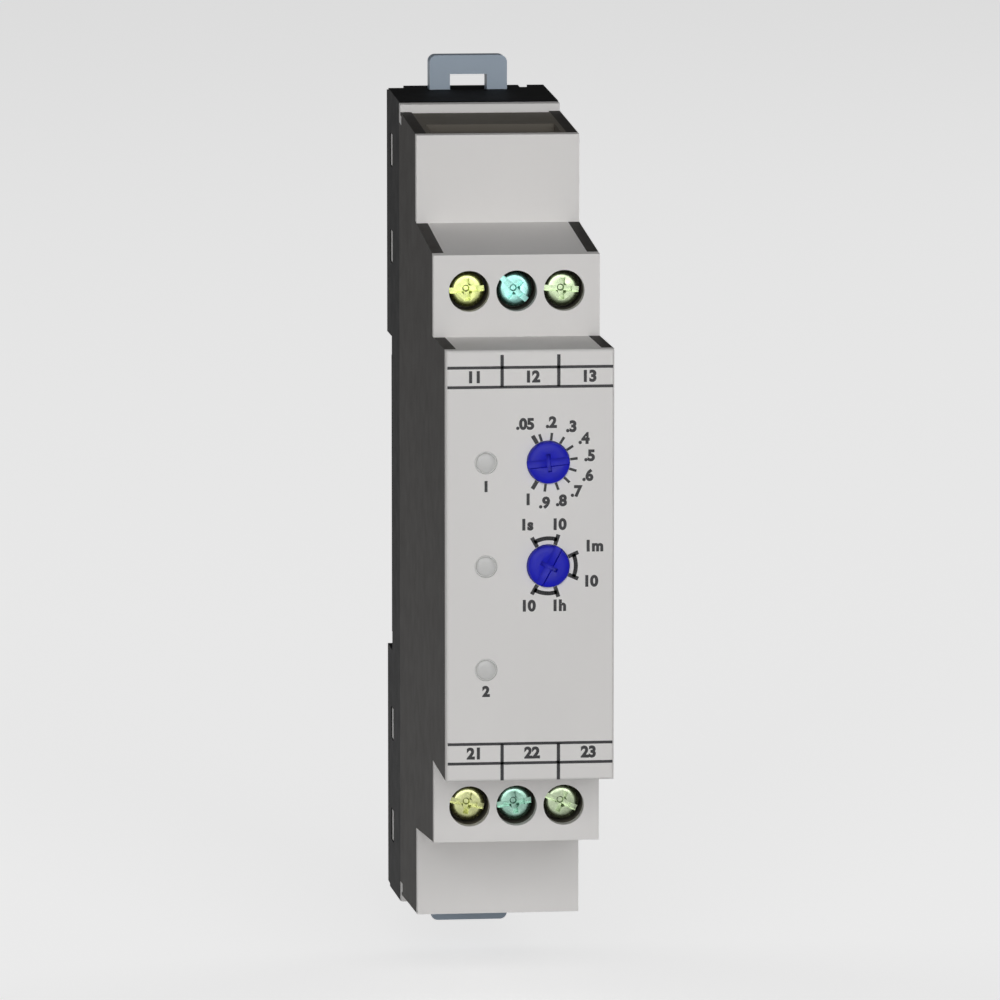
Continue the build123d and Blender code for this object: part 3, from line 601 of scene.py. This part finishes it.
class TIMER_OT_printing(bpy.types.Operator):
    """Print the frame lines, dial ticks, brackets and plain numbers on the nose"""
    bl_idname = "timer.printing"
    bl_label = "Print Nose"

    multiplier_ticks = (-30.5, -17.6, 7.1, 32.4, 57.0, 83.0, 107.7, 134.0, 160.0, 187.0, 211.0)
    multiplier_labels = (
        (".05", -2.4, 3.95), (".2", 0.3, 4.1), (".3", 2.4, 3.65), (".4", 3.7, 2.4), (".5", 4.3, 0.6),
        (".6", 4.1, -1.46), (".7", 2.9, -3.1), (".8", 1.35, -4.05), (".9", -0.4, -4.25), ("1", -2.1, -3.9),
    )
    range_pairs = ((-30.0, 18.0), (66.0, 114.0), (162.0, 210.0))
    range_labels = (
        ("1s", -2.25, 4.27), ("10", 1.1, 4.27), ("1m", 4.75, 1.98), ("10", 4.4, -1.7),
        ("1h", 1.1, -4.2), ("10", -2.1, -4.2),
    )
    terminal_columns = (-5.8, 0.2, 6.1)
    tick_start = 2.28
    tick_reach = 3.07
    end_tick_reach = 3.22
    bracket_radius = 2.87
    bracket_reach = 3.42
    bracket_width = 0.42
    bracket_pieces = 10

    def execute(self, context):
        black = ink("Print Ink", tuple(print_settings().ink_colour))
        groups = {
            "print_frame": self.frame_lines(),
            "print_multiplier": self.multiplier_dial(),
            "print_range": self.range_dial(),
            "print_numbers": self.terminal_numbers(),
        }
        for name, pieces in groups.items():
            finish_piece(join(pieces, name), black, HOUSING, "chip_black")
        return {"FINISHED"}

    def stroke(self, x, z, width, height, turn=0.0):
        """Printed bar centred at x and z in millimetres."""
        thick = print_settings().ink
        return bar("stroke", (x * MM, NOSE_FRONT - thick * 0.25, z * MM), (width * MM, thick, height * MM),
                   math.radians(turn))

    def words(self, text, x, z, height, weight=0.085):
        """Printed text centred at x and z in millimetres."""
        clear_selection()
        thick = print_settings().ink
        bpy.ops.object.text_add(rotation=(math.pi / 2, 0, 0))
        piece = bpy.context.object
        piece.data.body = text
        piece.data.align_x = "CENTER"
        piece.data.align_y = "CENTER"
        piece.data.size = height * MM * 1.38
        piece.data.offset = weight * MM
        piece.data.extrude = thick / 2
        piece.data.resolution_u = 6
        bpy.ops.object.convert(target="MESH")
        piece = bpy.context.object
        piece.location = (x * MM, NOSE_FRONT - thick * 0.25, z * MM)
        return settle(piece, "words")

    def frame_lines(self):
        low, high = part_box("front_cover")
        width = (high.x - low.x) / MM - 0.3
        line = print_settings().line / MM
        marks = [self.stroke(0, z, width, line) for z in (20.69, 18.66, -18.56, -20.6)]
        for x in (-2.93, 2.95):
            marks.append(self.stroke(x, 20.33, line * 1.15, 3.34))
            marks.append(self.stroke(x, -20.48, line * 1.15, 3.84))
        return marks

    def multiplier_dial(self):
        centre = mid("multiplier_knob")
        x, z = centre.x / MM, centre.z / MM
        settings = print_settings()
        marks = []
        last = len(self.multiplier_ticks) - 1
        for i, angle in enumerate(self.multiplier_ticks):
            end = i in (0, last)
            width = (settings.end_tick if end else settings.tick) / MM
            outer = self.end_tick_reach if end else self.tick_reach
            marks.append(self.radial(x, z, angle, self.tick_start, outer, width))
        for text, dx, dz in self.multiplier_labels:
            marks.append(self.words(text, x + dx, z + dz, settings.label / MM))
        return marks

    def radial(self, x, z, angle, inner, outer, width):
        """Bar from inner to outer radius at a clockwise angle from up."""
        turn = math.radians(angle)
        middle = (inner + outer) / 2
        return self.stroke(
            x + middle * math.sin(turn), z + middle * math.cos(turn), width, outer - inner, angle)

    def range_dial(self):
        centre = mid("range_knob")
        x, z = centre.x / MM, centre.z / MM
        settings = print_settings()
        marks = []
        for start, end in self.range_pairs:
            for angle in (start, end):
                marks.append(self.radial(
                    x, z, angle, self.tick_start, self.bracket_reach, self.bracket_width))
            marks += self.bracket(x, z, start, end)
        for text, dx, dz in self.range_labels:
            marks.append(self.words(text, x + dx, z + dz, settings.label / MM))
        return marks

    def bracket(self, x, z, start, end):
        """Arc of short bars round a knob between two clockwise angles from up."""
        radius = self.bracket_radius
        step = (end - start) / self.bracket_pieces
        length = 2 * radius * math.sin(math.radians(step / 2)) + 0.08
        marks = []
        for i in range(self.bracket_pieces):
            angle = start + step * (i + 0.5)
            turn = math.radians(angle)
            marks.append(self.stroke(
                x + radius * math.sin(turn), z + radius * math.cos(turn), length, self.bracket_width, angle))
        return marks

    def terminal_numbers(self):
        marks = []
        for i, x in enumerate(self.terminal_columns):
            marks.append(self.words(str(11 + i), x, 19.66, 1.15))
            marks.append(self.words(str(21 + i), x, -19.6, 1.15))
        lens = mid("lens_upper")
        marks.append(self.words("1", lens.x / MM, 8.3, 1.05))
        marks.append(self.words("2", lens.x / MM, -13.1, 1.05))
        return marks


class TIMER_OT_works(bpy.types.Operator):
    """Finish the boards, the parts on them and the relay"""
    bl_idname = "timer.works"
    bl_label = "Finish Works"

    def execute(self, context):
        finishes = {
            circuit_board("Board Mask", srgb(28, 96, 52)): ("front_board", "main_board"),
            moulded("Package Epoxy", srgb(34, 34, 36), 0.5): ("board_pins", "timing_chip", "regulator"),
            glossy("Can Sleeve", srgb(36, 44, 110), 0.3): ("smoothing_capacitor", "coupling_capacitor"),
            moulded("Film Box", srgb(226, 196, 92), 0.4): ("film_capacitor",),
            glossy("Dipped Coat", srgb(50, 92, 176), 0.3): ("varistor",),
            moulded("Resistor Lacquer", srgb(206, 184, 142), 0.35): ("resistors",),
            moulded("Relay Moulding", srgb(232, 224, 198), 0.45): ("relay_base", "relay_cover", "relay_bobbin"),
            wound("Winding Wire", srgb(200, 120, 70)): ("relay_winding",),
            plated("Relay Iron", srgb(176, 176, 178), 0.35): ("relay_core", "relay_yoke", "relay_armature"),
            plated("Contact Bronze", srgb(206, 168, 110), 0.28): ("relay_contact_spring", "relay_fixed_contacts"),
        }
        for material, nodes in finishes.items():
            for node in nodes:
                finish_node(node, material)
        return {"FINISHED"}


class TIMER_OT_stage(bpy.types.Operator):
    """Make the floor, the lamps, the sky and the camera"""
    bl_idname = "timer.stage"
    bl_label = "Make Stage"

    floor_glow = 0.62
    camera_place = (-0.085226, -0.815619, 0.106170)
    camera_ahead = (0.11100, 0.98415, -0.13828)
    aim_right = -0.00408
    aim_up = 0.0089

    def execute(self, context):
        self.floor()
        self.lamps()
        self.sky()
        self.camera()
        context.scene.view_settings.view_transform = "Standard"
        return {"FINISHED"}

    def floor(self):
        clear_selection()
        drop = CAD_BOX[0][2] - stage_settings().floor_drop
        bpy.ops.mesh.primitive_plane_add(size=6.0, location=(0, 1.0, drop))
        plane = settle(bpy.context.object, "studio_floor")
        material, shader, place = new_material("Floor Paper", (0.86, 0.86, 0.86), 0.9)
        shader.inputs["Specular IOR Level"].default_value = 0.1
        nodes, links = material.node_tree.nodes, material.node_tree.links
        ray = nodes.new("ShaderNodeLightPath")
        shown = nodes.new("ShaderNodeMath")
        shown.operation = "MAXIMUM"
        links.new(ray.outputs["Is Camera Ray"], shown.inputs[0])
        links.new(ray.outputs["Is Glossy Ray"], shown.inputs[1])
        glow = nodes.new("ShaderNodeMath")
        glow.operation = "MULTIPLY"
        glow.inputs[1].default_value = self.floor_glow
        links.new(shown.outputs[0], glow.inputs[0])
        shader.inputs["Emission Color"].default_value = (1, 1, 1, 1)
        links.new(glow.outputs[0], shader.inputs["Emission Strength"])
        plane.data.materials.append(material)

    def lamp(self, name, place, size, power):
        """Square soft lamp aimed at the middle of the object."""
        clear_selection()
        bpy.ops.object.light_add(type="AREA", location=place)
        lamp = bpy.context.object
        lamp.name = name
        lamp.data.size = size
        lamp.data.energy = power
        aim = Vector((0, -0.03, 0)) - Vector(place)
        lamp.rotation_euler = aim.to_track_quat("-Z", "Y").to_euler()

    def lamps(self):
        settings = stage_settings()
        self.lamp("key_lamp", (-0.06, -1.28, 0.13), 1.0, settings.key_power)
        self.lamp("left_lamp", (-1.2, 0.5, 0.5), 0.8, settings.fill_power)
        self.lamp("right_lamp", (1.2, 0.7, 0.5), 0.8, settings.fill_power)

    def sky(self):
        world = bpy.data.worlds.new("Studio")
        bpy.context.scene.world = world
        world.use_nodes = True
        nodes, links = world.node_tree.nodes, world.node_tree.links
        back = nodes["Background"]
        back.inputs["Color"].default_value = (1, 1, 1, 1)
        ray = nodes.new("ShaderNodeLightPath")
        spread = nodes.new("ShaderNodeMapRange")
        spread.inputs["To Min"].default_value = stage_settings().sky
        spread.inputs["To Max"].default_value = 1.0
        seen = nodes.new("ShaderNodeMath")
        seen.operation = "MAXIMUM"
        links.new(ray.outputs["Is Camera Ray"], seen.inputs[0])
        links.new(ray.outputs["Is Transmission Ray"], seen.inputs[1])
        links.new(seen.outputs[0], spread.inputs["Value"])
        links.new(spread.outputs["Result"], back.inputs["Strength"])

    def camera(self):
        clear_selection()
        bpy.ops.object.camera_add(location=self.camera_place)
        camera = bpy.context.object
        camera.name = "timer_camera"
        ahead = Vector(self.camera_ahead).normalized()
        right = ahead.cross(Vector((0, 0, 1))).normalized()
        up = right.cross(ahead)
        aim = ahead + self.aim_right * right + self.aim_up * up
        camera.rotation_euler = aim.to_track_quat("-Z", "Y").to_euler()
        camera.data.lens = stage_settings().lens
        camera.data.sensor_width = 36.0
        camera.data.clip_start = 0.01
        camera.data.clip_end = 20.0
        camera.data.dof.use_dof = False
        bpy.context.scene.camera = camera


class TIMER_PT_tools(bpy.types.Panel):
    """Operators of the rail timer"""
    bl_label = "Rail Timer"
    bl_idname = "TIMER_PT_tools"
    bl_space_type = "VIEW_3D"
    bl_region_type = "UI"
    bl_category = "Rail Timer"

    def draw(self, context):
        layout = self.layout
        for operator in OPERATORS:
            layout.operator(operator.bl_idname)
        for owner in (context.scene.timer_print, context.scene.timer_colours, context.scene.timer_stage):
            box = layout.box()
            for name in owner.__annotations__:
                box.prop(owner, name)


SETTINGS = (TimerPrintSettings, TimerColourSettings, TimerStageSettings)
OPERATORS = (
    TIMER_OT_housing, TIMER_OT_clips, TIMER_OT_screws, TIMER_OT_knobs, TIMER_OT_lenses,
    TIMER_OT_printing, TIMER_OT_works, TIMER_OT_stage,
)


def register():
    for item in (*SETTINGS, *OPERATORS, TIMER_PT_tools):
        bpy.utils.register_class(item)
    bpy.types.Scene.timer_print = bpy.props.PointerProperty(type=TimerPrintSettings)
    bpy.types.Scene.timer_colours = bpy.props.PointerProperty(type=TimerColourSettings)
    bpy.types.Scene.timer_stage = bpy.props.PointerProperty(type=TimerStageSettings)


def unregister():
    del bpy.types.Scene.timer_print
    del bpy.types.Scene.timer_colours
    del bpy.types.Scene.timer_stage
    for item in reversed((*SETTINGS, *OPERATORS, TIMER_PT_tools)):
        bpy.utils.unregister_class(item)


def main():
    register()
    bpy.ops.timer.housing()
    bpy.ops.timer.clips()
    bpy.ops.timer.screws()
    bpy.ops.timer.knobs()
    bpy.ops.timer.lenses()
    bpy.ops.timer.printing()
    bpy.ops.timer.works()
    bpy.ops.timer.stage()
    clear_selection()


if __name__ == "__main__":
    main()
